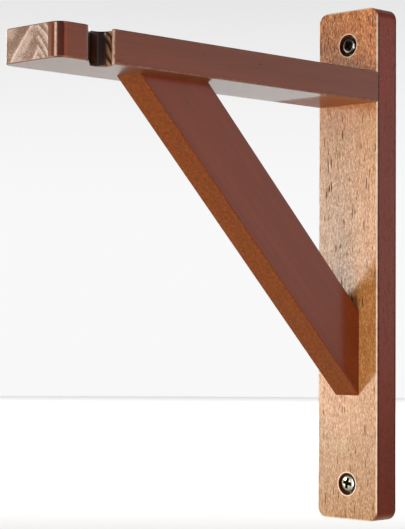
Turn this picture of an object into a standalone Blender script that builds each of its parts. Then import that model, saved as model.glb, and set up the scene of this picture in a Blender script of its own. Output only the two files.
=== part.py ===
"""A wooden angle bracket for a shelf: wall plate, arm, diagonal brace and two wall screws.

Metres, +Z up. The wall is the plane y = 0, the arm reaches out along -Y, and the origin is on the
wall face of the plate, halfway up.
"""
import math

import bmesh
import bpy
from mathutils import Matrix, Vector

# The plate and the arm are cut from boards of one width, so their sides are flush
BOARD_WIDTH = 0.045

# Wall plate
PLATE_HEIGHT = 0.300
PLATE_THICKNESS = 0.018
PLATE_CORNER_RADIUS = 0.0065

# Arm: how far its tip is from the wall, and how far its top is below the top of the plate
ARM_REACH = 0.262
ARM_THICKNESS = 0.018
ARM_DROP = 0.038
TIP_CORNER_RADIUS = 0.0065

# Slanting round-ended notch in the +X side of the arm, cut through its thickness
NOTCH_WIDTH = 0.0109
NOTCH_DEPTH = 0.0129
NOTCH_FROM_TIP = 0.0268
NOTCH_SLANT = math.radians(45)
FRONT_LIP_RADIUS = 0.006
REAR_LIP_RADIUS = 0.0012

# Brace: its lower edge runs from the plate to the underside of the arm
BRACE_THICKNESS = 0.018
BRACE_WIDTH = 0.0357
BRACE_FOOT_BELOW_ARM = 0.171
BRACE_HEAD_FROM_PLATE = 0.177

# Screw holes in the plate: a counterbore for the head and a clearance hole for the shank
HOLE_FROM_END = 0.0207
COUNTERBORE_DIAMETER = 0.0127
COUNTERBORE_DEPTH = 0.0034
CLEARANCE_DIAMETER = 0.0052
HOLE_RIM_EASING = 0.0004

# Pan-head screw with a cross recess: a straight rim, then a low dome that flattens at its top
SHANK_DIAMETER = 0.0033
HEAD_DIAMETER = 0.0094
HEAD_HEIGHT = 0.0029
HEAD_RIM_HEIGHT = 0.0019
DOME_TURN = math.radians(79)
DOME_FULLNESS = 0.7
DOME_STEPS = 8
RECESS_SPAN = 0.0060
RECESS_SLOT = 0.0016
RECESS_DEPTH = 0.0019
RECESS_FLOOR_SPAN = 0.0030
UPPER_SCREW_TURN = math.radians(28)
LOWER_SCREW_TURN = math.radians(-13)
LOWER_SCREW_RISE = 0.0005

# Width of the rounded long edges, and the gap left between pieces that touch
EDGE_EASING = 0.0008
EASING_SEGMENTS = 2
CLEARANCE = 0.0003

# Fineness of the curves, the angle above which an edge is sharp, and how far cutters reach past a face
ARC_STEP = math.radians(7.5)
HOLE_SEGMENTS = 48
SHARP_ANGLE = math.radians(35)
OVERRUN = 0.002

# Each corner of a round end takes just under half its width, which leaves a short edge between the arcs
ROUND_END_SHARE = 0.999

ARM_TOP = PLATE_HEIGHT / 2 - ARM_DROP
ARM_UNDERSIDE = ARM_TOP - ARM_THICKNESS
SCREW_HEIGHT = PLATE_HEIGHT / 2 - HOLE_FROM_END


def clear_scene():
    for obj in list(bpy.data.objects):
        bpy.data.objects.remove(obj, do_unlink=True)


def make_material(name, color, roughness, metallic=0.0):
    material = bpy.data.materials.new(name)
    material.use_nodes = True
    shader = material.node_tree.nodes["Principled BSDF"]
    shader.inputs["Base Color"].default_value = (*color, 1.0)
    shader.inputs["Roughness"].default_value = roughness
    shader.inputs["Metallic"].default_value = metallic
    return material


def plate_wood():
    return make_material("plate_wood", (0.42, 0.20, 0.09), 0.38)


def arm_wood():
    return make_material("arm_wood", (0.30, 0.12, 0.06), 0.38)


def brace_wood():
    return make_material("brace_wood", (0.34, 0.14, 0.06), 0.38)


def upper_screw_steel():
    return make_material("upper_screw_steel", (0.42, 0.41, 0.40), 0.42, 1.0)


def lower_screw_steel():
    return make_material("lower_screw_steel", (0.72, 0.71, 0.67), 0.28, 1.0)


def add_object(name, mesh, material):
    obj = bpy.data.objects.new(name, mesh)
    bpy.context.scene.collection.objects.link(obj)
    mesh.materials.append(material)
    mesh.shade_smooth()
    mesh.set_sharp_from_angle(angle=SHARP_ANGLE)
    return obj


def rounded_outline(corners):
    """Points of a closed outline given as (point, radius) corners, each rounded by an arc."""
    points = []
    for index, (corner, radius) in enumerate(corners):
        before = (corners[index - 1][0] - corner).normalized()
        after = (corners[(index + 1) % len(corners)][0] - corner).normalized()
        if radius == 0:
            points.append(corner)
            continue
        half_angle = before.angle(after) / 2
        centre = corner + (before + after).normalized() * (radius / math.sin(half_angle))
        first = corner + before * (radius / math.tan(half_angle)) - centre
        last = corner + after * (radius / math.tan(half_angle)) - centre
        turn = math.pi - 2 * half_angle
        steps = max(2, math.ceil(turn / ARC_STEP))
        for step in range(steps + 1):
            share = step / steps
            weights = (math.sin((1 - share) * turn), math.sin(share * turn))
            points.append(centre + (first * weights[0] + last * weights[1]) / math.sin(turn))
    return points


def extruded(name, outline, to_world, thickness, is_eased, material):
    """A board with the given outline, its long edges rounded where is_eased says so."""
    shape = bmesh.new()
    near = [shape.verts.new(to_world(point, -thickness / 2)) for point in outline]
    far = [shape.verts.new(to_world(point, thickness / 2)) for point in outline]
    shape.faces.new(near)
    shape.faces.new(far)
    for index in range(len(outline)):
        shape.faces.new((near[index - 1], near[index], far[index], far[index - 1]))
    bmesh.ops.recalc_face_normals(shape, faces=shape.faces)
    weight = shape.edges.layers.float.new("bevel_weight_edge")
    for edge in shape.edges:
        edge[weight] = float(is_eased(edge.verts[0].co, edge.verts[1].co))
    mesh = bpy.data.meshes.new(name)
    shape.to_mesh(mesh)
    shape.free()
    obj = add_object(name, mesh, material)
    easing = obj.modifiers.new("eased_edges", "BEVEL")
    easing.limit_method = "WEIGHT"
    easing.width = EDGE_EASING
    easing.segments = EASING_SEGMENTS
    easing.use_clamp_overlap = False
    return obj


def turned(name, profile, material):
    """A solid of revolution about its own Z axis, from (radius, height) pairs, lowest first."""
    shape = bmesh.new()
    rings = []
    for radius, height in profile:
        ring = []
        for step in range(HOLE_SEGMENTS):
            angle = 2 * math.pi * step / HOLE_SEGMENTS
            ring.append(shape.verts.new((radius * math.cos(angle), radius * math.sin(angle), height)))
        rings.append(ring)
    for lower, upper in zip(rings, rings[1:]):
        for step in range(HOLE_SEGMENTS):
            shape.faces.new((lower[step - 1], lower[step], upper[step], upper[step - 1]))
    shape.faces.new(rings[0])
    shape.faces.new(rings[-1])
    bmesh.ops.recalc_face_normals(shape, faces=shape.faces)
    mesh = bpy.data.meshes.new(name)
    shape.to_mesh(mesh)
    shape.free()
    return add_object(name, mesh, material)


def hide_cutter(cutter):
    cutter.hide_render = True
    cutter.display_type = "WIRE"


def cut(obj, cutter):
    hide_cutter(cutter)
    boolean = obj.modifiers.new("cut_" + cutter.name, "BOOLEAN")
    boolean.operation = "DIFFERENCE"
    boolean.solver = "EXACT"
    boolean.object = cutter


def facing_out(height, turn=0.0):
    """Placement of a turned piece whose +Z points out of the wall, along -Y."""
    out_of_wall = Matrix.Rotation(math.radians(90), 4, "X")
    return Matrix.Translation((0, 0, height)) @ out_of_wall @ Matrix.Rotation(turn, 4, "Z")


def make_plate():
    half_width = BOARD_WIDTH / 2
    half_height = PLATE_HEIGHT / 2
    outline = rounded_outline([
        (Vector((-half_width, -half_height)), PLATE_CORNER_RADIUS),
        (Vector((half_width, -half_height)), PLATE_CORNER_RADIUS),
        (Vector((half_width, half_height)), PLATE_CORNER_RADIUS),
        (Vector((-half_width, half_height)), PLATE_CORNER_RADIUS),
    ])

    def to_world(point, offset):
        return Vector((point.x, offset - PLATE_THICKNESS / 2, point.y))

    def is_eased(a, b):
        return abs(a.y - b.y) < EDGE_EASING

    wood = plate_wood()
    plate = extruded("back_plate", outline, to_world, PLATE_THICKNESS, is_eased, wood)
    cut(plate, make_hole_cutter("hole_upper", SCREW_HEIGHT, wood))
    cut(plate, make_hole_cutter("hole_lower", -SCREW_HEIGHT, wood))
    return plate


def make_hole_cutter(name, height, material):
    bore = COUNTERBORE_DIAMETER / 2
    profile = [
        (CLEARANCE_DIAMETER / 2, -OVERRUN),
        (CLEARANCE_DIAMETER / 2, PLATE_THICKNESS - COUNTERBORE_DEPTH),
        (bore, PLATE_THICKNESS - COUNTERBORE_DEPTH),
        (bore, PLATE_THICKNESS - HOLE_RIM_EASING),
        (bore + HOLE_RIM_EASING, PLATE_THICKNESS),
        (bore + HOLE_RIM_EASING, PLATE_THICKNESS + OVERRUN),
    ]
    cutter = turned(name, profile, material)
    cutter.matrix_world = facing_out(height)
    return cutter


def notch_corners():
    """Corners of the notch in plan, from the lip near the tip to the lip near the wall."""
    side = BOARD_WIDTH / 2
    inward = Vector((-math.cos(NOTCH_SLANT), math.sin(NOTCH_SLANT)))
    across = Vector((math.sin(NOTCH_SLANT), math.cos(NOTCH_SLANT)))
    radius = NOTCH_WIDTH / 2
    mouth = Vector((side, NOTCH_FROM_TIP - ARM_REACH))
    end_centre = mouth + inward * ((NOTCH_DEPTH - radius) / math.cos(NOTCH_SLANT))
    end_middle = end_centre + inward * radius
    half_mouth = Vector((0, radius / math.cos(NOTCH_SLANT)))
    return [
        (mouth - half_mouth, FRONT_LIP_RADIUS),
        (end_middle - across * radius, radius * ROUND_END_SHARE),
        (end_middle + across * radius, radius * ROUND_END_SHARE),
        (mouth + half_mouth, REAR_LIP_RADIUS),
    ]


def make_arm():
    side = BOARD_WIDTH / 2
    butt = -PLATE_THICKNESS - CLEARANCE
    outline = rounded_outline([
        (Vector((-side, butt)), 0),
        (Vector((-side, -ARM_REACH)), TIP_CORNER_RADIUS),
        (Vector((side, -ARM_REACH)), TIP_CORNER_RADIUS),
        *notch_corners(),
        (Vector((side, butt)), 0),
    ])

    def to_world(point, offset):
        return Vector((point.x, point.y, offset + ARM_TOP - ARM_THICKNESS / 2))

    def is_eased(a, b):
        at_butt = min(a.y, b.y) > butt - EDGE_EASING
        return abs(a.z - b.z) < EDGE_EASING and not at_butt

    return extruded("arm", outline, to_world, ARM_THICKNESS, is_eased, arm_wood())


def make_brace():
    """The board's lower edge is set by its two ends, and its upper edge is parallel to it."""
    front = -PLATE_THICKNESS - CLEARANCE
    top = ARM_UNDERSIDE - CLEARANCE
    foot = Vector((front, ARM_UNDERSIDE - BRACE_FOOT_BELOW_ARM))
    head = Vector((-PLATE_THICKNESS - BRACE_HEAD_FROM_PLATE, top))
    slope = math.atan2(head.y - foot.y, foot.x - head.x)
    outline = [
        foot,
        head,
        head + Vector((BRACE_WIDTH / math.sin(slope), 0)),
        foot + Vector((0, BRACE_WIDTH / math.cos(slope))),
    ]

    def to_world(point, offset):
        return Vector((offset, point.x, point.y))

    def is_eased(a, b):
        return abs(a.y - b.y) > EDGE_EASING and abs(a.z - b.z) > EDGE_EASING

    return extruded("brace", outline, to_world, BRACE_THICKNESS, is_eased, brace_wood())


def head_profile():
    """Underside, straight rim and dome of the screw head, as heights from the wall face."""
    seat = PLATE_THICKNESS - COUNTERBORE_DEPTH + CLEARANCE
    radius = HEAD_DIAMETER / 2
    dome = HEAD_HEIGHT - HEAD_RIM_HEIGHT
    rim = seat + HEAD_RIM_HEIGHT
    profile = [(radius, seat), (radius, rim)]
    for step in range(1, DOME_STEPS + 1):
        angle = DOME_TURN * step / DOME_STEPS
        profile.append((radius * math.cos(angle) ** DOME_FULLNESS, rim + dome * math.sin(angle)))
    return profile


def make_screw(name, height, turn, material):
    shank = SHANK_DIAMETER / 2
    profile = [
        (shank, CLEARANCE),
        (shank, PLATE_THICKNESS - COUNTERBORE_DEPTH + CLEARANCE),
        *head_profile(),
    ]
    screw = turned(name, profile, material)
    screw.matrix_world = facing_out(height, turn)
    top = profile[-1][1]
    for index in range(2):
        blade = make_recess_blade(f"{name}_recess_{index}", top, material)
        blade.matrix_world = facing_out(height, turn + math.radians(90) * index)
        cut(screw, blade)
    return screw


def make_recess_blade(name, top, material):
    """A wedge that cuts one slot of the cross, narrower at its floor than at its mouth."""
    shape = bmesh.new()
    levels = ((RECESS_FLOOR_SPAN, top - RECESS_DEPTH), (RECESS_SPAN, top), (RECESS_SPAN, top + OVERRUN))
    rings = []
    for span, height in levels:
        x = span / 2
        y = RECESS_SLOT / 2
        rings.append([shape.verts.new((a, b, height)) for a, b in ((-x, -y), (x, -y), (x, y), (-x, y))])
    for lower, upper in zip(rings, rings[1:]):
        for step in range(len(lower)):
            shape.faces.new((lower[step - 1], lower[step], upper[step], upper[step - 1]))
    shape.faces.new(rings[0])
    shape.faces.new(rings[-1])
    bmesh.ops.recalc_face_normals(shape, faces=shape.faces)
    mesh = bpy.data.meshes.new(name)
    shape.to_mesh(mesh)
    shape.free()
    return add_object(name, mesh, material)


def main():
    clear_scene()
    make_plate()
    make_arm()
    make_brace()
    make_screw("screw_upper", SCREW_HEIGHT, UPPER_SCREW_TURN, upper_screw_steel())
    lower_height = LOWER_SCREW_RISE - SCREW_HEIGHT
    make_screw("screw_lower", lower_height, LOWER_SCREW_TURN, lower_screw_steel())


main()
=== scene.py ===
"""Looks of the wooden angle bracket: stained and varnished boards, two cross-recess screws."""
import math

import bmesh
import bpy
from mathutils import Matrix, Vector

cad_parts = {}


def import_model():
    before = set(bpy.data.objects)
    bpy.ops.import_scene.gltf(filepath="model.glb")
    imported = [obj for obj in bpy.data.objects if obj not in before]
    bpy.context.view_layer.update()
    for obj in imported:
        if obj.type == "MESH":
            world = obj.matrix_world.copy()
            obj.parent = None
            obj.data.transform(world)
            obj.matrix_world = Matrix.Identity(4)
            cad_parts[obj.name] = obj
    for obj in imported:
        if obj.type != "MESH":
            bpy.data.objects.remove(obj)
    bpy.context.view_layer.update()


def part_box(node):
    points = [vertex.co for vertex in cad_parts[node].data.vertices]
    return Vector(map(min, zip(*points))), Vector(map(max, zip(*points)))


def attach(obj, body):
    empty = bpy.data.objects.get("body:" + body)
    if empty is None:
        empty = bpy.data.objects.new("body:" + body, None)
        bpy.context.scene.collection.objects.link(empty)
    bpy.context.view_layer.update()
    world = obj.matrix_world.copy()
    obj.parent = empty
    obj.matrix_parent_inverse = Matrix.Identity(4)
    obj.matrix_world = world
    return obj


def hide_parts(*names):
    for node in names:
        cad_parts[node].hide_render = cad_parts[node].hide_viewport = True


# Camera, from a fit to the edges in the photograph
CAMERA_AZIMUTH = math.radians(44.7536)
CAMERA_PITCH = math.radians(1.9533)
CAMERA_ROLL = math.radians(0.2944)
CAMERA_DISTANCE = 1.085825
CAMERA_LEFT = 0.0980479
CAMERA_UP = 0.0001301
FOCAL_PIXELS = 1819.90
FRAME_HEIGHT_PIXELS = 529
SENSOR_WIDTH = 36.0
CLIP_START = 0.05
CLIP_END = 50.0

# Boards
PLATE_CORNER_RADIUS = 0.0065
TIP_CORNER_RADIUS = 0.0065
BRACE_WIDTH = 0.0357
ARRIS_RADIUS = 0.0008
ARRIS_SEGMENTS = 4
JOINT_OVERLAP = 0.0002
ARC_STEP = math.radians(3)
FULL_ROUND = 0.999
SHARP_ANGLE = math.radians(35)
EVEN_NORMAL_WEIGHT = 100

# Notch in the side of the arm
NOTCH_WIDTH = 0.0109
NOTCH_DEPTH = 0.0129
NOTCH_FROM_TIP = 0.0268
NOTCH_SLANT = math.radians(45)
FRONT_LIP_RADIUS = 0.006
REAR_LIP_RADIUS = 0.0012

# Holes and screws
COUNTERBORE_RADIUS = 0.00635
COUNTERBORE_DEPTH = 0.0034
CLEARANCE_RADIUS = 0.0026
RIM_EASING = 0.0004
RIM_STEPS = 4
ROUND_SEGMENTS = 96
OVERRUN = 0.002
HOLE_FROM_END = 0.0207
HEAD_HEIGHT = 0.0029
HEAD_RIM_HEIGHT = 0.0019
HEAD_EDGE_RADIUS = 0.00025
DOME_TURN = math.radians(79)
DOME_FULLNESS = 0.7
DOME_STEPS = 24
SHANK_RADIUS = 0.00165
RECESS_SPAN = 0.0060
RECESS_SLOT = 0.0016
RECESS_DEPTH = 0.0019
RECESS_FLOOR_SPAN = 0.0030
UPPER_SCREW_TURN = math.radians(28)
LOWER_SCREW_TURN = math.radians(-13)

# Studio
FLOOR_HEIGHT = -1.0
FLOOR_RADIUS = 24.0
FLOOR_COLOURS = ((0.80, 0.79, 0.78), (0.84, 0.83, 0.82))
FLOOR_ROUGHNESS = 0.8
SKY_BY_HEIGHT = (("From Min", 0.05), ("From Max", 0.5), ("To Min", 1.0), ("To Max", 0.22))
SKY_BY_DEPTH = (("From Min", -0.26), ("From Max", -0.12), ("To Min", 0.15), ("To Max", 0.94))
WHITE = (1.0, 1.0, 1.0)
KEY_COLOUR = (1.0, 0.985, 0.90)
# Name, azimuth and elevation in degrees, distance, width, height, radiance and colour
SOFTBOXES = (
    ("key", -49.0, 0.7, 7.5, 2.3, 1.64, 16.5, KEY_COLOUR),
    ("front", 4, -1, 1.6, 0.42, 1.2, 7.2, WHITE),
    ("fill", 34, -15, 1.6, 1.2, 0.4, 7.0, WHITE),
)
BACKDROP_WIDTH = 20.0
BACKDROP_HEIGHT = 16.0
BACKDROP_POWER = 1750
BACKDROP_PLACE = (-11.0, 11.0, 2.4)
BACKDROP_TURN = math.radians(45)


def rounded_outline(corners):
    """Points of a closed outline given as (point, radius) corners, each rounded by an arc."""
    points = []
    for index, (corner, radius) in enumerate(corners):
        before = (corners[index - 1][0] - corner).normalized()
        after = (corners[(index + 1) % len(corners)][0] - corner).normalized()
        if radius == 0:
            points.append(corner)
            continue
        half_angle = before.angle(after) / 2
        centre = corner + (before + after).normalized() * (radius / math.sin(half_angle))
        first = corner + before * (radius / math.tan(half_angle)) - centre
        last = corner + after * (radius / math.tan(half_angle)) - centre
        turn = math.pi - 2 * half_angle
        steps = max(2, math.ceil(turn / ARC_STEP))
        for step in range(steps + 1):
            share = step / steps
            weights = (math.sin((1 - share) * turn), math.sin(share * turn))
            points.append(centre + (first * weights[0] + last * weights[1]) / math.sin(turn))
    return points


def new_object(name, shape):
    bmesh.ops.recalc_face_normals(shape, faces=shape.faces)
    mesh = bpy.data.meshes.new(name)
    shape.to_mesh(mesh)
    shape.free()
    obj = bpy.data.objects.new(name, mesh)
    bpy.context.scene.collection.objects.link(obj)
    return obj


def extruded(name, outline, to_world, thickness, is_eased):
    """A board with the given outline, its long edges rounded where is_eased says so."""
    shape = bmesh.new()
    near = [shape.verts.new(to_world(point, -thickness / 2)) for point in outline]
    far = [shape.verts.new(to_world(point, thickness / 2)) for point in outline]
    shape.faces.new(near)
    shape.faces.new(far)
    for index in range(len(outline)):
        shape.faces.new((near[index - 1], near[index], far[index], far[index - 1]))
    weight = shape.edges.layers.float.new("bevel_weight_edge")
    for edge in shape.edges:
        edge[weight] = float(is_eased(edge.verts[0].co, edge.verts[1].co))
    obj = new_object(name, shape)
    easing = obj.modifiers.new("arris", "BEVEL")
    easing.limit_method = "WEIGHT"
    easing.width = ARRIS_RADIUS
    easing.segments = ARRIS_SEGMENTS
    easing.use_clamp_overlap = False
    return obj


def join_rings(shape, rings):
    """Closes a stack of rings of vertices with walls, a floor and a lid."""
    for lower, upper in zip(rings, rings[1:]):
        for step in range(len(lower)):
            shape.faces.new((lower[step - 1], lower[step], upper[step], upper[step - 1]))
    shape.faces.new(rings[0])
    shape.faces.new(rings[-1])


def turned(name, profile):
    """A solid of revolution about its own Z axis, from (radius, height) pairs, lowest first."""
    shape = bmesh.new()
    rings = []
    for radius, height in profile:
        ring = []
        for step in range(ROUND_SEGMENTS):
            angle = 2 * math.pi * step / ROUND_SEGMENTS
            ring.append(shape.verts.new((radius * math.cos(angle), radius * math.sin(angle), height)))
        rings.append(ring)
    join_rings(shape, rings)
    return new_object(name, shape)


def cut(obj, cutter):
    boolean = obj.modifiers.new("cut", "BOOLEAN")
    boolean.operation = "DIFFERENCE"
    boolean.solver = "EXACT"
    boolean.object = cutter


def apply_modifiers(obj):
    """Replaces the object's mesh by the one that its modifiers give."""
    mesh = obj.data
    evaluated = obj.evaluated_get(bpy.context.evaluated_depsgraph_get())
    obj.data = bpy.data.meshes.new_from_object(evaluated)
    obj.data.name = obj.name
    obj.modifiers.clear()
    bpy.data.meshes.remove(mesh)


def settle(obj, cutters, material):
    """Cuts the holes, removes the cutters and gives the mesh soft, even shading."""
    obj.data.shade_smooth()
    apply_modifiers(obj)
    for cutter in cutters:
        bpy.data.objects.remove(cutter)
    obj.data.shade_smooth()
    obj.data.set_sharp_from_angle(angle=SHARP_ANGLE)
    even = obj.modifiers.new("even_normals", "WEIGHTED_NORMAL")
    even.keep_sharp = True
    even.weight = EVEN_NORMAL_WEIGHT
    apply_modifiers(obj)
    obj.data.materials.clear()
    obj.data.materials.append(material)
    return obj


def facing_out(centre_height, turn=0.0):
    """Placement of a turned piece whose +Z points out of the wall, along -Y."""
    out_of_wall = Matrix.Rotation(math.radians(90), 4, "X")
    return Matrix.Translation((0, 0, centre_height)) @ out_of_wall @ Matrix.Rotation(turn, 4, "Z")


def placed(obj, matrix):
    obj.data.transform(matrix)
    return obj


def make_hole_cutter(height, plate_thickness):
    seat = plate_thickness - COUNTERBORE_DEPTH
    profile = [(CLEARANCE_RADIUS, -OVERRUN), (CLEARANCE_RADIUS, seat), (COUNTERBORE_RADIUS, seat)]
    for step in range(RIM_STEPS + 1):
        angle = math.radians(90) * step / RIM_STEPS
        profile.append((COUNTERBORE_RADIUS + RIM_EASING * (1 - math.cos(angle)),
                        plate_thickness - RIM_EASING * (1 - math.sin(angle))))
    profile.append((COUNTERBORE_RADIUS + RIM_EASING, plate_thickness + OVERRUN))
    return placed(turned("hole", profile), facing_out(height))


def hole_heights():
    low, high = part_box("back_plate")
    return high.z - HOLE_FROM_END, low.z + HOLE_FROM_END


def make_plate(material):
    low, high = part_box("back_plate")
    thickness = high.y - low.y
    outline = rounded_outline([
        (Vector((low.x, low.z)), PLATE_CORNER_RADIUS),
        (Vector((high.x, low.z)), PLATE_CORNER_RADIUS),
        (Vector((high.x, high.z)), PLATE_CORNER_RADIUS),
        (Vector((low.x, high.z)), PLATE_CORNER_RADIUS),
    ])

    def to_world(point, offset):
        return Vector((point.x, offset - thickness / 2, point.y))

    def is_eased(a, b):
        return abs(a.y - b.y) < ARRIS_RADIUS

    plate = extruded("back_plate_board", outline, to_world, thickness, is_eased)
    cutters = []
    for height in hole_heights():
        cutters.append(make_hole_cutter(height, thickness))
        cut(plate, cutters[-1])
    return settle(plate, cutters, material)


def notch_frame(side, tip):
    """In plan: the middle of the notch's mouth, its direction inwards, the one across it, and the
    middle of its round end."""
    inward = Vector((-math.cos(NOTCH_SLANT), math.sin(NOTCH_SLANT)))
    across = Vector((math.sin(NOTCH_SLANT), math.cos(NOTCH_SLANT)))
    mouth = Vector((side, tip + NOTCH_FROM_TIP))
    end_centre = mouth + inward * ((NOTCH_DEPTH - NOTCH_WIDTH / 2) / math.cos(NOTCH_SLANT))
    return mouth, inward, across, end_centre


def notch_corners(side, tip):
    """Corners of the notch in plan, from the lip near the tip to the lip near the wall."""
    mouth, inward, across, end_centre = notch_frame(side, tip)
    radius = NOTCH_WIDTH / 2
    end_middle = end_centre + inward * radius
    half_mouth = Vector((0, radius / math.cos(NOTCH_SLANT)))
    return [
        (mouth - half_mouth, FRONT_LIP_RADIUS),
        (end_middle - across * radius, radius * FULL_ROUND),
        (end_middle + across * radius, radius * FULL_ROUND),
        (mouth + half_mouth, REAR_LIP_RADIUS),
    ]


def make_arm(material):
    low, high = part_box("arm")
    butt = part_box("back_plate")[0].y + ARRIS_RADIUS
    outline = rounded_outline([
        (Vector((low.x, butt)), 0),
        (Vector((low.x, low.y)), TIP_CORNER_RADIUS),
        (Vector((high.x, low.y)), TIP_CORNER_RADIUS),
        *notch_corners(high.x, low.y),
        (Vector((high.x, butt)), 0),
    ])

    def to_world(point, offset):
        return Vector((point.x, point.y, offset + (low.z + high.z) / 2))

    def is_eased(a, b):
        at_butt = min(a.y, b.y) > butt - ARRIS_RADIUS
        return abs(a.z - b.z) < ARRIS_RADIUS and not at_butt

    arm = extruded("arm_board", outline, to_world, high.z - low.z, is_eased)
    return settle(arm, [], material)


def brace_line():
    """Foot and head of the brace's lower edge as (y, z), and the edge's slope."""
    low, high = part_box("brace")
    foot = Vector((high.y, low.z))
    head = Vector((low.y, high.z))
    return foot, head, math.atan2(head.y - foot.y, foot.x - head.x)


def make_brace(material):
    low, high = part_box("brace")
    foot, head, slope = brace_line()
    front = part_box("back_plate")[0].y + JOINT_OVERLAP
    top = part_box("arm")[0].z + JOINT_OVERLAP
    rise = math.tan(slope)
    foot_end = Vector((front, foot.y - (front - foot.x) * rise))
    head_end = Vector((head.x - (top - head.y) / rise, top))
    outline = [
        foot_end,
        head_end,
        head_end + Vector((BRACE_WIDTH / math.sin(slope), 0)),
        foot_end + Vector((0, BRACE_WIDTH / math.cos(slope))),
    ]

    def to_world(point, offset):
        return Vector((offset, point.x, point.y))

    def is_eased(a, b):
        return abs(a.y - b.y) > ARRIS_RADIUS and abs(a.z - b.z) > ARRIS_RADIUS

    brace = extruded("brace_board", outline, to_world, high.x - low.x, is_eased)
    return settle(brace, [], material)


def make_recess_blade(top):
    """A wedge that cuts one slot of the cross, narrower at its floor than at its mouth."""
    shape = bmesh.new()
    levels = ((RECESS_FLOOR_SPAN, top - RECESS_DEPTH), (RECESS_SPAN, top), (RECESS_SPAN, top + OVERRUN))
    rings = []
    for span, height in levels:
        x = span / 2
        y = RECESS_SLOT / 2
        rings.append([shape.verts.new((a, b, height)) for a, b in ((-x, -y), (x, -y), (x, y), (-x, y))])
    join_rings(shape, rings)
    return new_object("recess", shape)


def make_screw(node, turn, material):
    low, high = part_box(node)
    centre_height = (low.z + high.z) / 2
    radius = (high.x - low.x) / 2
    top = -low.y
    seat = top - HEAD_HEIGHT
    dome = HEAD_HEIGHT - HEAD_RIM_HEIGHT
    profile = [(SHANK_RADIUS, -high.y), (SHANK_RADIUS, seat),
               (radius - HEAD_EDGE_RADIUS, seat), (radius, seat + HEAD_EDGE_RADIUS)]
    for step in range(DOME_STEPS + 1):
        angle = DOME_TURN * step / DOME_STEPS
        profile.append((radius * math.cos(angle) ** DOME_FULLNESS,
                        seat + HEAD_RIM_HEIGHT + dome * math.sin(angle) / math.sin(DOME_TURN)))
    screw = turned(node + "_piece", profile)
    blades = []
    for index in range(2):
        blade = make_recess_blade(top)
        blade.data.transform(Matrix.Rotation(math.radians(90) * index, 4, "Z"))
        blades.append(blade)
        cut(screw, blade)
    settle(screw, blades, material)
    return placed(screw, facing_out(centre_height, turn))


class Graph:
    """Short calls for building a material's node tree. Colours are linear red, green and blue."""

    def __init__(self, name):
        self.material = bpy.data.materials.new(name)
        self.material.use_nodes = True
        self.tree = self.material.node_tree
        self.shader = self.tree.nodes["Principled BSDF"]

    def add(self, kind, inputs=None, **settings):
        node = self.tree.nodes.new(kind)
        for key, value in settings.items():
            setattr(node, key, value)
        for key, value in (inputs or {}).items():
            self.put(node.inputs[key], value)
        return node

    def put(self, socket, value):
        if isinstance(value, bpy.types.NodeSocket):
            self.tree.links.new(value, socket)
        else:
            socket.default_value = value

    def shade(self, **values):
        """Sets inputs of the shader, named with underscores for their spaces."""
        for key, value in values.items():
            self.put(self.shader.inputs[key.replace("_", " ")], value)

    def math(self, operation, a, b=0.0, clamp=False):
        return self.add("ShaderNodeMath", {0: a, 1: b}, operation=operation, use_clamp=clamp).outputs[0]

    def chain(self, operation, first, *others):
        for other in others:
            first = self.math(operation, first, other)
        return first

    def product(self, *values):
        return self.chain("MULTIPLY", *values)

    def total(self, *values):
        return self.chain("ADD", *values)

    def difference(self, a, b):
        return self.math("SUBTRACT", a, b)

    def least(self, *values):
        return self.chain("MINIMUM", *values)

    def most(self, *values):
        return self.chain("MAXIMUM", *values)

    def size_of(self, value):
        return self.math("ABSOLUTE", value)

    def vector(self, operation, a, b=(0, 0, 0)):
        return self.add("ShaderNodeVectorMath", {0: a, 1: b}, operation=operation).outputs[0]

    def dot(self, a, b):
        return self.add("ShaderNodeVectorMath", {0: a, 1: b}, operation="DOT_PRODUCT").outputs["Value"]

    def length(self, vector):
        return self.add("ShaderNodeVectorMath", {0: vector}, operation="LENGTH").outputs["Value"]

    def split(self, vector):
        return self.add("ShaderNodeSeparateXYZ", {"Vector": vector}).outputs

    def noise(self, vector, scale, detail=3.0, roughness=0.5):
        return self.add("ShaderNodeTexNoise", {"Vector": vector, "Scale": scale, "Detail": detail,
                                               "Roughness": roughness}).outputs["Fac"]

    def spread(self, value, low, high, to_low=0.0, to_high=1.0, kind="SMOOTHSTEP"):
        return self.add("ShaderNodeMapRange", {"Value": value, "From Min": low, "From Max": high,
                                               "To Min": to_low, "To Max": to_high},
                        interpolation_type=kind).outputs["Result"]

    def ramp(self, value, low, high, to_low=0.0, to_high=1.0):
        return self.spread(value, low, high, to_low, to_high, "LINEAR")

    def band(self, value, rise, fall):
        """1 between the end of the rise and the start of the fall, each given as (from, to)."""
        return self.product(self.spread(value, *rise), self.spread(value, *fall))

    def swing(self, noise, amount):
        """Brings the middle part of a noise to -amount ... amount."""
        return self.ramp(noise, 0.3, 0.7, -amount, amount)

    def mix(self, factor, a, b, kind="MIX"):
        a, b = ((*colour, 1) if isinstance(colour, tuple) else colour for colour in (a, b))
        return self.add("ShaderNodeMix", {0: factor, 6: a, 7: b}, data_type="RGBA", blend_type=kind).outputs[2]

    def tinted(self, factor, colour, tint):
        return self.mix(factor, colour, self.mix(1.0, colour, tint, "MULTIPLY"))

    def bump(self, height, distance, normal=None):
        node = self.add("ShaderNodeBump", {"Height": height, "Distance": distance, "Strength": 1.0})
        if normal is not None:
            self.put(node.inputs["Normal"], normal)
        return node.outputs["Normal"]


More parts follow.
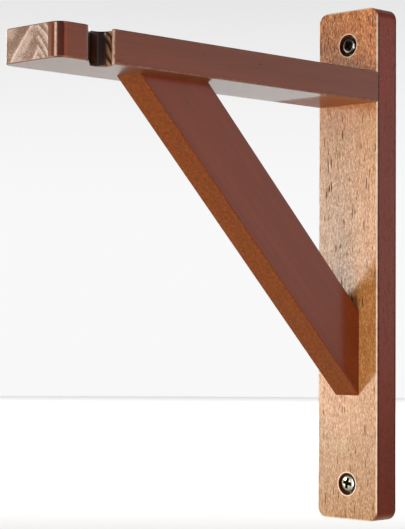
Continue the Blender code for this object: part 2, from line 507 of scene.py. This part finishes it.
class Wood(Graph):
    """Stained, varnished solid wood. In the board's own frame the grain runs along Z."""

    # Noises as stretch along the grain, scale, detail and roughness
    RING_BEND = (0.07, 45, 2, 0.5)
    FIBRE = (0.03, 1500, 4, 0.6)
    STREAK = (0.03, 320, 3, 0.55)
    BLOTCH = (0.07, 90, 3, 0.55)
    SPECKLE = (0.16, 1100, 3, 0.6)
    CLOUD = (0.5, 260, 2, 0.6)
    WARMTH = (0.4, 170, 2, 0.5)
    END_GRIT = (1.0, 1200, 3, 0.75)
    END_PATCH = (1.0, 190, 2, 0.6)
    RAGGED = (1.0, 260, 3, 0.6)

    # Cell patterns as stretch, scale, deciding channel, largest radius and softness of the spots
    PORES = ((1, 1, 0.14), 1150.0, "Red", 0.34, 0.12)
    DASHES = ((1.7, 1, 0.24), 560.0, "Green", 0.55, 0.07)

    # Parts of a growth ring, from 0 at its start to 1 at the next
    RING_BEND_DEPTH = 0.010
    FINE_RINGS = 3.6
    LATE_WOOD = ((0.0, 0.07), (0.85, 0.25))
    PALE_EDGE = (0.84, 0.98)
    FINE_LATE_WOOD = ((0.0, 0.10), (0.62, 0.38))
    PALE_LINE = (0.72, 0.92)
    HEART_FADE = 0.0004
    BEFORE_HEART = (0.95, 0.15)
    PAST_HEART = (0.15, 0.85)
    END_PALENESS = 1.5
    END_PATCHINESS = 0.35

    # Shares of the surface's direction that lie along the grain or sideways
    NEAR_END = (0.93, 0.955)
    END = (0.90, 0.96)
    SIDE = (0.5, 0.95)
    PURE_SIDE = (0.93, 0.99)
    DASH_FACE = (0.3, 0.6)

    # Weights of the side grain
    SIDE_RANGE = (0.25, 0.95)
    STREAK_SHARE = 0.55
    FIBRE_SHARE = 0.45
    LATE_SHARE = 0.05
    BLOTCH_SHARE = 0.5
    CLOUD_SHARE = 0.1
    SIDE_GRIT = 0.14
    ABOVE_STRENGTH = 0.8
    BELOW_STRENGTH = 1.25
    WARM_RANGE = (0.4, 0.7)
    WARM_TINT = (0.98, 1.05, 1.06)
    PORE_STRENGTH = 0.55
    DASH_STRENGTH = 0.85
    PORE_COLOUR = (0.10, 0.026, 0.004)

    # Distances from an arris
    RUBBED_AND_HIGHLIT = (0.0011, 0.0001)
    STAINED = (0.0021, 0.0014)
    STAIN_COLOUR = (0.03, 0.008, 0.003)

    # Gloss and relief
    BARE_GLOSS = 0.08
    BARE_ROUGHNESS = 0.4
    BLOTCH_ROUGHNESS = 0.12
    PORE_ROUGHNESS = 0.2
    FIBRE_ROUGHNESS = 0.08
    VARNISH_ROUGHNESS = 0.2
    VARNISH_IOR = 1.5
    PORE_DEPTH = 1.2
    GRAIN_RELIEF = 0.00006
    BLOTCH_RELIEF = 0.0002
    VARNISH_RELIEF = 0.00012
    TELEGRAPHED = 0.2

    # What differs from board to board
    grain_turn = 0.0
    seed = 0.0
    pores = 0.02
    dashes = 0.0
    grit = 0.3
    grit_scale = 1100.0
    grit_length = 0.6
    rough_ends = (1.0, 1.0, 1.0)
    ring_shift = 0.0
    raggedness = 0.0022
    stain_line = 0.0
    coat = 1.0
    side_coat = 1.0
    end_coat = 0.4
    patchy = 0.0

    def __init__(self, name, spans):
        """spans holds the board's middle and half length along each of its own axes."""
        super().__init__(name)
        self.spans = spans
        self.place = self.add("ShaderNodeTexCoord").outputs["Object"]
        board = self.in_board(self.place, "POINT")
        self.across, self.through, self.along = self.split(board)
        self.seeded = self.vector("ADD", board, (self.seed, self.seed * 0.37, self.seed * 0.71))
        self.normal = self.add("ShaderNodeNewGeometry").outputs["Normal"]
        self.sideways = self.size_of(self.split(self.normal)["X"])
        self.endways = self.size_of(self.split(self.in_board(self.normal, "NORMAL"))["Z"])
        self.near_end = self.spread(self.endways, *self.NEAR_END)
        self.end = self.spread(self.endways, *self.END)
        self.fibre = self.grain(self.FIBRE)
        self.blotch = self.grain(self.BLOTCH)
        self.grains = self.grain((self.grit_length, self.grit_scale, 2, 0.7))
        self.ragged = self.product(self.difference(self.grain(self.RAGGED), 0.5), self.raggedness)
        self.make_rings()
        self.make_pores()
        self.make_arrises()
        self.make_level()
        self.colour()
        self.gloss()
        self.relief()

    def in_board(self, vector, kind):
        return self.add("ShaderNodeMapping", {"Vector": vector, "Rotation": (self.grain_turn, 0, 0)},
                        vector_type=kind).outputs["Vector"]

    def grain(self, settings):
        stretch, scale, detail, roughness = settings
        return self.noise(self.vector("MULTIPLY", self.seeded, (1, 1, stretch)), scale, detail, roughness)

    def make_rings(self):
        """Growth rings: depth across them, folded about the heart line and bent by slow noise."""
        from_heart = self.difference(self.across, self.heart)
        tilt = self.product(self.through, math.tan(self.ring_slope))
        bend = self.product(self.difference(self.grain(self.RING_BEND), 0.5), self.RING_BEND_DEPTH)
        depth = self.total(self.size_of(from_heart), tilt, bend, self.ring_shift)
        ring = self.math("FRACT", self.math("DIVIDE", depth, self.ring_spacing))
        fine_ring = self.math("FRACT", self.math("DIVIDE", depth, self.ring_spacing / self.FINE_RINGS))
        self.late = self.band(ring, *self.LATE_WOOD)
        self.fine_late = self.band(fine_ring, *self.FINE_LATE_WOOD)
        past_heart = self.spread(from_heart, -self.HEART_FADE, self.HEART_FADE)
        late_share = self.ramp(past_heart, 0, 1, *self.BEFORE_HEART)
        fine_share = self.ramp(past_heart, 0, 1, *self.PAST_HEART)
        self.end_bands = self.total(self.product(self.late, late_share),
                                    self.product(self.fine_late, fine_share))
        self.end_pale = self.total(self.product(self.spread(ring, *self.PALE_EDGE), late_share),
                                   self.product(self.spread(fine_ring, *self.PALE_LINE), fine_share))

    def spots(self, pattern, share):
        """Spots of random size at the given share of the points of a cell pattern."""
        stretch, scale, channel, largest, softness = pattern
        cells = self.add("ShaderNodeTexVoronoi", {"Vector": self.vector("MULTIPLY", self.seeded, stretch),
                                                  "Scale": scale}, feature="F1").outputs
        chance = self.add("ShaderNodeSeparateColor", {"Color": cells["Color"]}).outputs[channel]
        radius = self.ramp(chance, 1.0 - share, 1.0, 0.0, largest)
        return self.spread(self.difference(radius, cells["Distance"]), 0.0, softness)

    def make_pores(self):
        """Pores: short dark dashes along the grain, dots on the end grain, long dashes on some faces."""
        self.pore = self.spots(self.PORES, self.pores)
        self.pore_shade = self.product(self.pore, self.PORE_STRENGTH)
        self.bare = self.pore
        if self.dashes:
            dash = self.product(self.spots(self.DASHES, self.dashes),
                                self.spread(self.sideways, *self.DASH_FACE, 1.0, 0.0))
            self.pore_shade = self.most(self.pore_shade, self.product(dash, self.DASH_STRENGTH))
            self.bare = self.most(self.bare, dash)

    def make_arrises(self):
        """Where two faces meet: the second smallest of the distances to the board's three pairs of faces."""
        gaps = [self.difference(half, self.size_of(self.difference(axis, centre)))
                for axis, (centre, half) in zip((self.across, self.through, self.along), self.spans)]
        outer = self.total(self.least(*gaps), self.most(*gaps))
        self.from_arris = self.difference(self.total(*gaps), outer)
        # Pale edge along the arrises: wear together with a painted highlight.
        self.rubbed_and_highlit = self.spread(self.total(self.from_arris, self.ragged), *self.RUBBED_AND_HIGHLIT)
        if self.stain_line:
            self.stained = self.product(self.spread(self.from_arris, *self.STAINED),
                                        self.spread(self.sideways, *self.PURE_SIDE), self.stain_line)
            self.bare = self.most(self.bare, self.stained)

    def make_level(self):
        """Fine unevenness of the colour and the varnish, round 1."""
        start, stop, factor = self.rough_ends
        grit = self.spread(self.along, start, stop, self.grit, self.grit * factor)
        uneven = self.total(self.product(self.swing(self.grains, 1.0), grit),
                            self.product(self.swing(self.grain(self.CLOUD), 1.0), self.grit * self.CLOUD_SHARE))
        facing = self.spread(self.sideways, *self.SIDE, 1.0, self.SIDE_GRIT)
        self.level = self.total(self.product(uneven, facing), 1.0)

    def side_colour(self):
        value = self.total(self.product(self.grain(self.STREAK), self.STREAK_SHARE),
                           self.product(self.fibre, self.FIBRE_SHARE),
                           self.product(self.late, self.LATE_SHARE),
                           self.product(self.difference(self.blotch, 0.5), self.BLOTCH_SHARE))
        colour = self.mix(self.ramp(value, *self.SIDE_RANGE), self.light, self.dark)
        colour = self.tinted(self.spread(self.sideways, *self.SIDE), colour, self.side_tint)
        colour = self.speckled(colour)
        warm = self.spread(self.grain(self.WARMTH), *self.WARM_RANGE)
        return self.side_details(self.tinted(warm, colour, self.WARM_TINT))

    def end_colour(self):
        value = self.total(self.end_bands, self.swing(self.grain(self.END_GRIT), 1.0),
                           self.swing(self.grain(self.END_PATCH), self.END_PATCHINESS))
        palest = tuple(self.END_PALENESS * channel for channel in self.end_light)
        pale = self.mix(self.end_pale, self.end_light, palest)
        return self.mix(value, pale, self.end_dark)

    def colour(self):
        side = self.side_colour()
        colour = self.mix(self.end, side, self.end_colour())
        colour = self.mix(self.pore_shade, colour, self.PORE_COLOUR)
        if self.stain_line:
            colour = self.mix(self.stained, colour, self.STAIN_COLOUR)
        # Paints the pale edge of wear and highlight along the arrises.
        colour = self.mix(self.product(self.rubbed_and_highlit, self.wear_and_highlight), colour, self.worn_and_highlight_colour)
        self.shade(Base_Color=self.last_details(colour))

    def speckled(self, colour):
        return self.mix(1.0, colour, self.level, "MULTIPLY")

    def side_details(self, colour):
        return colour

    def last_details(self, colour):
        return colour

    def varnish_details(self, cover):
        return cover

    def gloss(self):
        roughness = self.total(self.product(self.blotch, self.BLOTCH_ROUGHNESS),
                               self.product(self.pore, self.PORE_ROUGHNESS),
                               self.product(self.fibre, self.FIBRE_ROUGHNESS), self.BARE_ROUGHNESS)
        self.shade(Roughness=roughness, Specular_IOR_Level=self.BARE_GLOSS)
        uneven = self.total(self.product(self.difference(self.level, 1.0), self.patchy), 1.0)
        cover = self.product(uneven, self.ramp(self.bare, 0.0, 1.0, 1.0, 0.0),
                             self.spread(self.sideways, *self.SIDE, self.coat, self.side_coat))
        at_end = self.spread(self.near_end, 0.0, 1.0, 1.0, self.end_coat)
        cover = self.math("MULTIPLY", cover, at_end, clamp=True)
        self.shade(Coat_Weight=self.varnish_details(cover), Coat_Roughness=self.VARNISH_ROUGHNESS,
                   Coat_IOR=self.VARNISH_IOR)

    def relief(self):
        height = self.total(self.product(self.fibre, 0.5), self.product(self.grain(self.SPECKLE), 0.5))
        height = self.difference(height, self.product(self.pore, self.PORE_DEPTH))
        normal = self.bump(self.blotch, self.BLOTCH_RELIEF, self.bump(height, self.GRAIN_RELIEF))
        telegraphed = self.total(self.product(self.grains, self.grit), self.product(height, self.TELEGRAPHED))
        self.shade(Normal=normal, Coat_Normal=self.bump(telegraphed, self.VARNISH_RELIEF))


class PlateWood(Wood):
    """Wood of the plate: pale and speckled in front, with painted shade inside its counterbores, a pale rim of
    wear and painted highlight round them, and painted light tints at its top and bottom.
    """

    light = (0.51, 0.207, 0.051)
    dark = (0.35, 0.118, 0.026)
    side_tint = (0.55, 0.12, 0.02)
    end_light = (0.62, 0.38, 0.22)
    end_dark = (0.22, 0.07, 0.03)
    ring_spacing = 0.006
    ring_slope = math.radians(20)
    heart = -0.006
    seed = 3.1
    pores = 0.6
    dashes = 0.28
    grit = 0.45
    grit_scale = 1500.0
    grit_length = 0.42
    wear_and_highlight = 0.95
    worn_and_highlight_colour = (0.98, 0.72, 0.50)
    raggedness = 0.0007
    stain_line = 0.8
    coat = 0.90
    side_coat = 0.72
    patchy = 1.25

    PALE_GRAIN = (0.93, 0.54, 0.27)
    DARK_GRAIN = (0.12, 0.034, 0.010)
    ROUGH_END = (0.5, 0.8, 1.6)
    # Painted light and shade: tints that make the top of the plate redder and its bottom less red, as the light
    # falls on it.
    PAINTED_LIGHT_REACH = (0.5, 0.75)
    TOP_PAINTED_LIGHT_TINT = (1.12, 0.90, 0.84)
    BOTTOM_PAINTED_LIGHT_TINT = (0.84, 0.92, 0.97)
    BORE_SHADE = (0.012, 0.005, 0.003)
    BORE_STRENGTH = 0.85
    RIM_HIGHLIGHT_AND_WEAR = 0.75
    # Distances from the counterbore's seat and wall
    SEAT_FADE = (0.0006, 0.0003)
    BORE_FADE = (0.0002, -0.0001)
    RIM_RISE = (0.0001, 0.0003)
    RIM_FALL = (0.0010, 0.0006)

    def __init__(self, name, spans):
        self.reach = spans[2][1]
        start, stop, factor = self.ROUGH_END
        self.rough_ends = (self.reach * start, self.reach * stop, factor)
        super().__init__(name, spans)

    def speckled(self, colour):
        above = self.math("SUBTRACT", self.level, 1.0, clamp=True)
        below = self.math("SUBTRACT", 1.0, self.level, clamp=True)
        colour = self.mix(self.product(above, self.ABOVE_STRENGTH), colour, self.PALE_GRAIN)
        return self.mix(self.product(below, self.BELOW_STRENGTH), colour, self.DARK_GRAIN)

    def side_details(self, colour):
        # Painted light and shade at the top and bottom of the plate.
        reach = [self.reach * share for share in self.PAINTED_LIGHT_REACH]
        colour = self.tinted(self.spread(self.along, *reach), colour, self.TOP_PAINTED_LIGHT_TINT)
        return self.tinted(self.spread(self.product(self.along, -1), *reach), colour, self.BOTTOM_PAINTED_LIGHT_TINT)

    def last_details(self, colour):
        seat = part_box("back_plate")[0].y + COUNTERBORE_DEPTH
        above_seat = self.spread(self.split(self.place)["Y"], *(seat + fade for fade in self.SEAT_FADE))
        bore, rise, fall = ([COUNTERBORE_RADIUS + fade for fade in fades]
                            for fades in (self.BORE_FADE, self.RIM_RISE, self.RIM_FALL))
        for height in hole_heights():
            from_axis = self.vector("SUBTRACT", self.place, (0, 0, height))
            from_axis = self.length(self.vector("MULTIPLY", from_axis, (1, 0, 1)))
            # Painted shade inside the counterbore, down to its seat.
            painted_bore_shade = self.product(self.spread(from_axis, *bore, 0.0, self.BORE_STRENGTH), above_seat)
            colour = self.mix(painted_bore_shade, colour, self.BORE_SHADE)
            # A pale ring round the rim: wear together with a painted highlight.
            rim_highlight_and_wear = self.product(self.band(from_axis, rise, fall), above_seat, self.RIM_HIGHLIGHT_AND_WEAR)
            colour = self.mix(rim_highlight_and_wear, colour, self.worn_and_highlight_colour)
        return colour


class ArmWood(Wood):
    """Wood of the arm: end grain and a rounded corner with painted shade and highlight at the tip, painted shade
    in the notch behind it, and a painted reflection of the plate on the underside beside it.
    """

    light = (0.24, 0.080, 0.028)
    dark = (0.15, 0.048, 0.016)
    side_tint = (1.12, 0.55, 0.22)
    end_light = (0.42, 0.295, 0.235)
    end_dark = (0.16, 0.070, 0.036)
    grain_turn = math.radians(90)
    ring_spacing = 0.0178
    ring_slope = math.radians(-45)
    ring_shift = 0.0078
    heart = 0.0062
    seed = 7.7
    grit = 0.22
    wear_and_highlight = 0.5
    worn_and_highlight_colour = (0.42, 0.24, 0.17)

    # The rounded corner, with a band of painted shade and a painted highlight, by the share of the surface's
    # direction that lies along the grain
    CORNER_SHADE = ((0.36, 0.46), (0.85, 0.81))
    CORNER_SHADE_TINT = (0.32, 0.22, 0.25)
    CREST_HIGHLIGHT = ((0.83, 0.87), (0.945, 0.92))
    CREST_HIGHLIGHT_NOISE = (1.0, 520, 2, 0.6)
    CREST_HIGHLIGHT_BREAKS = (0.35, 0.6, 0.3, 1.0)
    CREST_HIGHLIGHT_STRENGTH = 0.38
    CREST_HIGHLIGHT_COLOUR = (0.62, 0.38, 0.27)
    END_REACH = (0.0140, 0.0143)
    END_EDGE_COLOUR = (0.13, 0.030, 0.004)

    # The underside beside the plate: a painted reflection of the plate, and thinner varnish
    JOINT_REACH = (-0.065, -0.053)
    FACING_DOWN = (-0.9, -0.98)
    JOINT_REFLECTION_TINT = (1.8, 1.25, 0.60)
    JOINT_COAT = 0.26

    # The notch's painted shade and lip highlight, with distances from its wall, its round end and its lip
    NOTCH_FADE = (0.0005, 0.0001)
    NOTCH_MOUTH_FADE = (0.0098, 0.0068)
    NOTCH_STRENGTH = 0.92
    NOTCH_SHADE = (0.024, 0.009, 0.005)
    NOTCH_LIT = (0.30, 0.70)
    NOTCH_PALE = (0.46, 0.23, 0.12)
    NOTCH_DARK = (0.06, 0.025, 0.014)
    LIP_FADE = (0.0007, 0.0001)
    BEFORE_LIP = (0.0001, 0.0007)
    LIP_HIGHLIGHT_BREAKS = (0.35, 0.55, 0.45, 1.0)
    LIP_HIGHLIGHT_COLOUR = (0.50, 0.30, 0.21)

    def side_details(self, colour):
        # Painted reflection of the plate on the underside beside it, where the varnish is also thinner.
        self.joint_reflection = self.product(self.spread(self.along, *self.JOINT_REACH),
                                     self.spread(self.split(self.normal)["Z"], *self.FACING_DOWN))
        colour = self.tinted(self.joint_reflection, colour, self.JOINT_REFLECTION_TINT)
        # Painted highlight along the rounded corner of the tip, broken by noise.
        crest_highlight = self.product(self.band(self.endways, *self.CREST_HIGHLIGHT),
                             self.spread(self.grain(self.CREST_HIGHLIGHT_NOISE), *self.CREST_HIGHLIGHT_BREAKS),
                             self.CREST_HIGHLIGHT_STRENGTH)
        colour = self.mix(crest_highlight, colour, self.CREST_HIGHLIGHT_COLOUR)
        # Painted shade: a darker band on the rounded corner.
        colour = self.tinted(self.band(self.endways, *self.CORNER_SHADE), colour, self.CORNER_SHADE_TINT)
        beyond = self.spread(self.across, *self.END_REACH)
        self.end = self.product(self.end, self.difference(1.0, beyond))
        return self.mix(self.product(beyond, self.near_end), colour, self.END_EDGE_COLOUR)

    def last_details(self, colour):
        """Paints shade into the notch towards its round end, lighter with pale ring streaks on its wall side,
        and a painted highlight on the lip there.
        """
        low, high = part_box("arm")
        mouth, inward, across, centre = (vector.to_3d() for vector in notch_frame(high.x, low.y))
        radius = NOTCH_WIDTH / 2
        from_centre = self.vector("SUBTRACT", self.place, tuple(centre))
        to_wall = self.dot(from_centre, tuple(across))
        to_mouth = self.dot(from_centre, tuple(-inward))
        to_end = self.math("MINIMUM", to_mouth, 0.0)
        from_middle = self.math("SQRT", self.total(self.product(to_wall, to_wall),
                                                   self.product(to_end, to_end)))
        # Painted shade in the notch, deepest towards its round end; its wall side is lighter, with pale ring
        # streaks.
        painted_notch_shade = self.product(self.spread(from_middle, *(radius + fade for fade in self.NOTCH_FADE)),
                              self.spread(to_mouth, *self.NOTCH_MOUTH_FADE), self.NOTCH_STRENGTH)
        streaks = self.mix(self.fine_late, self.NOTCH_PALE, self.NOTCH_DARK)
        lit = self.spread(to_wall, *(radius * share for share in self.NOTCH_LIT))
        colour = self.mix(painted_notch_shade, colour, self.mix(lit, self.NOTCH_SHADE, streaks))

        half_angle = (math.radians(90) - NOTCH_SLANT) / 2
        lip_y = mouth.y + radius / math.cos(NOTCH_SLANT) + REAR_LIP_RADIUS / math.tan(half_angle)
        from_lip = self.vector("SUBTRACT", self.place, (mouth.x - REAR_LIP_RADIUS, lip_y, 0))
        from_lip = self.length(self.vector("MULTIPLY", from_lip, (1, 1, 0)))
        # Painted highlight on the rear lip of the notch, broken by noise.
        lip_highlight = self.spread(self.total(from_lip, self.ragged),
                             *(REAR_LIP_RADIUS + fade for fade in self.LIP_FADE))
        before_lip = self.spread(self.split(self.place)["Y"], *(lip_y - fade for fade in self.BEFORE_LIP))
        broken = self.spread(self.noise(self.place, 420, 2, 0.6), *self.LIP_HIGHLIGHT_BREAKS)
        return self.mix(self.product(lip_highlight, before_lip, broken), colour, self.LIP_HIGHLIGHT_COLOUR)

    def varnish_details(self, cover):
        return self.product(cover, self.spread(self.joint_reflection, 0.0, 1.0, 1.0, self.JOINT_COAT))


class BraceWood(Wood):
    """Wood of the brace: a richer orange brown, duller on its lower edge."""

    light = (0.235, 0.052, 0.003)
    dark = (0.150, 0.030, 0.0015)
    side_tint = (1.20, 0.74, 1.3)
    end_light = (0.45, 0.25, 0.13)
    end_dark = (0.24, 0.09, 0.04)
    ring_spacing = 0.007
    ring_slope = math.radians(35)
    heart = 0.004
    seed = 12.9
    grit = 0.4
    grit_scale = 800.0
    wear_and_highlight = 0.4
    worn_and_highlight_colour = (0.34, 0.13, 0.06)
    coat = 0.44
    side_coat = 0.9

    def __init__(self, name, spans):
        self.grain_turn = brace_line()[2] - math.radians(90)
        super().__init__(name, spans)


def plate_wood():
    low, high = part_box("back_plate")
    return PlateWood("plate_wood", [((a + b) / 2, (b - a) / 2) for a, b in zip(low, high)]).material


def arm_wood():
    """The arm's butted end counts as boundless, so that it gets no pale edge of wear and painted highlight."""
    low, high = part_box("arm")
    spans = [(0.0, high.x), ((low.z + high.z) / -2, (high.z - low.z) / 2), (low.y + 1.0, 1.0)]
    return ArmWood("arm_wood", spans).material


def brace_wood():
    """Only the brace's thickness is bounded, so no arris gets the pale edge of wear and painted highlight."""
    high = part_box("brace")[1]
    return BraceWood("brace_wood", [(0.0, high.x), (0.0, 1.0), (0.0, 1.0)]).material


class Steel(Graph):
    """Plated screw steel with fine turning marks, dull patches and painted shade in and round the recess."""

    RECESS_SHADE_COLOUR = (0.02, 0.017, 0.010)
    PATCHES = (0.45, 0.75)
    RECESS_SHADE_ROUGHNESS = 0.4
    PATCH_ROUGHNESS = 0.2
    SCRATCH_ROUGHNESS = 0.1
    SCRATCH_RELIEF = 0.6
    PATCH_RELIEF = 0.4
    RELIEF = 0.00002
    CENTRE_FADE = 0.0008

    def __init__(self, name, node, turn, colour, tarnish, roughness, spill, shade_whole_centre=False):
        """spill is how far the painted recess shade reaches past the recess; the last argument paints shade over
        the middle of the head too.
        """
        super().__init__(name)
        place = self.add("ShaderNodeTexCoord").outputs["Object"]
        patches = self.noise(place, 900, 4, 0.6)
        scratch = self.noise(self.vector("MULTIPLY", place, (1, 1, 9)), 2600, 3, 0.6)
        low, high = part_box(node)
        from_centre = self.vector("SUBTRACT", place, (0, 0, (low.z + high.z) / 2))
        directions = ((math.cos(turn), 0, math.sin(turn)), (-math.sin(turn), 0, math.cos(turn)))
        arms = [self.size_of(self.dot(from_centre, direction)) for direction in directions]
        lengths, widths = ([self.spread(arm, size / 2 + spill, size / 2 + spill / 2) for arm in arms]
                           for size in (RECESS_SPAN, RECESS_SLOT))
        # Painted shade in the cross recess and round it.
        recess_shade = self.most(self.product(lengths[0], widths[1]), self.product(lengths[1], widths[0]))
        # Painted shade over the whole middle of the head.
        if shade_whole_centre:
            from_axis = self.length(self.vector("MULTIPLY", from_centre, (1, 0, 1)))
            centre = self.spread(from_axis, RECESS_SPAN / 2 + self.CENTRE_FADE, RECESS_SPAN / 2)
            recess_shade = self.most(recess_shade, centre)
        metal = self.mix(self.spread(patches, *self.PATCHES), colour, tarnish)
        roughness = self.total(self.product(patches, self.PATCH_ROUGHNESS),
                               self.product(scratch, self.SCRATCH_ROUGHNESS),
                               self.product(recess_shade, self.RECESS_SHADE_ROUGHNESS), roughness)
        relief = self.total(self.product(scratch, self.SCRATCH_RELIEF), self.product(patches, self.PATCH_RELIEF))
        self.shade(Base_Color=self.mix(recess_shade, metal, self.RECESS_SHADE_COLOUR), Roughness=roughness, Metallic=1.0,
                   Normal=self.bump(relief, self.RELIEF))


# The upper screw: a darker copy of the lower screw's steel, which is painted shade, with painted shade over the
# whole middle of its head.
def upper_screw_steel():
    return Steel("upper_screw_steel", "screw_upper", UPPER_SCREW_TURN, (0.34, 0.31, 0.30),
                 (0.08, 0.065, 0.06), roughness=0.11, spill=0.0003, shade_whole_centre=True).material


def lower_screw_steel():
    return Steel("lower_screw_steel", "screw_lower", LOWER_SCREW_TURN, (0.64, 0.62, 0.50),
                 (0.46, 0.44, 0.35), roughness=0.17, spill=0.00035).material


def floor_paint():
    graph = Graph("floor_paint")
    cloud = graph.noise(graph.add("ShaderNodeTexCoord").outputs["Object"], 3)
    graph.shade(Base_Color=graph.mix(cloud, *FLOOR_COLOURS), Roughness=FLOOR_ROUGHNESS)
    return graph.material


def make_floor():
    shape = bmesh.new()
    bmesh.ops.create_circle(shape, cap_ends=True, segments=ROUND_SEGMENTS, radius=FLOOR_RADIUS)
    floor = new_object("floor", shape)
    floor.location.z = FLOOR_HEIGHT
    floor.data.materials.append(floor_paint())


def make_world():
    """A white sky that fades with height and towards the room behind the camera."""
    world = bpy.data.worlds.new("studio")
    bpy.context.scene.world = world
    world.use_nodes = True
    tree = world.node_tree
    background = tree.nodes["Background"]
    coordinates = tree.nodes.new("ShaderNodeTexCoord")
    axes = tree.nodes.new("ShaderNodeSeparateXYZ")
    tree.links.new(coordinates.outputs["Generated"], axes.inputs[0])
    level = tree.nodes.new("ShaderNodeMath")
    level.operation = "MULTIPLY"
    for index, (axis, settings) in enumerate((("Z", SKY_BY_HEIGHT), ("Y", SKY_BY_DEPTH))):
        fade = tree.nodes.new("ShaderNodeMapRange")
        fade.interpolation_type = "SMOOTHSTEP"
        for socket, value in settings:
            fade.inputs[socket].default_value = value
        tree.links.new(axes.outputs[axis], fade.inputs["Value"])
        tree.links.new(fade.outputs["Result"], level.inputs[index])
    tree.links.new(level.outputs[0], background.inputs["Strength"])
    background.inputs["Color"].default_value = (*WHITE, 1)


def new_lamp(name, width, height, power, colour):
    """A rectangular lamp that the camera doesn't see."""
    light = bpy.data.lights.new(name, "AREA")
    light.shape = "RECTANGLE"
    light.size = width
    light.size_y = height
    light.energy = power
    light.color = colour
    lamp = bpy.data.objects.new(name, light)
    bpy.context.scene.collection.objects.link(lamp)
    lamp.visible_camera = False
    return lamp


def make_lights():
    """Softboxes that face the bracket, azimuth from -Y towards +X, and one lamp over the floor behind."""
    for name, azimuth, elevation, distance, width, height, radiance, colour in SOFTBOXES:
        azimuth = math.radians(azimuth)
        elevation = math.radians(elevation)
        direction = Vector((math.sin(azimuth) * math.cos(elevation),
                            -math.cos(azimuth) * math.cos(elevation), math.sin(elevation)))
        lamp = new_lamp(name, width, height, radiance * math.pi * width * height, colour)
        lamp.location = direction * distance
        lamp.rotation_euler = direction.to_track_quat("Z", "Y").to_euler()
    backdrop = new_lamp("backdrop", BACKDROP_WIDTH, BACKDROP_HEIGHT, BACKDROP_POWER, WHITE)
    backdrop.location = BACKDROP_PLACE
    backdrop.rotation_euler = (0, 0, BACKDROP_TURN)


def make_camera():
    forward = Vector((-math.sin(CAMERA_AZIMUTH) * math.cos(CAMERA_PITCH),
                      math.cos(CAMERA_AZIMUTH) * math.cos(CAMERA_PITCH), math.sin(CAMERA_PITCH)))
    level_right = Vector((math.cos(CAMERA_AZIMUTH), math.sin(CAMERA_AZIMUTH), 0))
    level_up = level_right.cross(forward)
    right = level_right * math.cos(CAMERA_ROLL) + level_up * math.sin(CAMERA_ROLL)
    up = level_up * math.cos(CAMERA_ROLL) - level_right * math.sin(CAMERA_ROLL)
    data = bpy.data.cameras.new("camera")
    data.sensor_width = SENSOR_WIDTH
    data.lens = FOCAL_PIXELS / FRAME_HEIGHT_PIXELS * SENSOR_WIDTH
    data.clip_start = CLIP_START
    data.clip_end = CLIP_END
    camera = bpy.data.objects.new("camera", data)
    bpy.context.scene.collection.objects.link(camera)
    place = Matrix((right, up, -forward)).transposed().to_4x4()
    place.translation = -forward * CAMERA_DISTANCE - right * CAMERA_LEFT + up * CAMERA_UP
    camera.matrix_world = place
    bpy.context.scene.camera = camera


def main():
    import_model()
    upper_shaded_steel = upper_screw_steel()
    lower_steel = lower_screw_steel()
    pieces = (
        (make_plate(plate_wood()), "back_plate", "plate_wood"),
        (make_arm(arm_wood()), "arm", "arm_wood"),
        (make_brace(brace_wood()), "brace", "brace_wood"),
        (make_screw("screw_upper", UPPER_SCREW_TURN, upper_shaded_steel), "screw_upper", "upper_screw_steel"),
        (make_screw("screw_lower", LOWER_SCREW_TURN, lower_steel), "screw_lower", "lower_screw_steel"),
    )
    for piece, node, slot in pieces:
        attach(piece, "root")
        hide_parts(node)
    make_floor()
    make_world()
    make_lights()
    make_camera()
    bpy.context.scene.view_settings.view_transform = "Standard"


main()
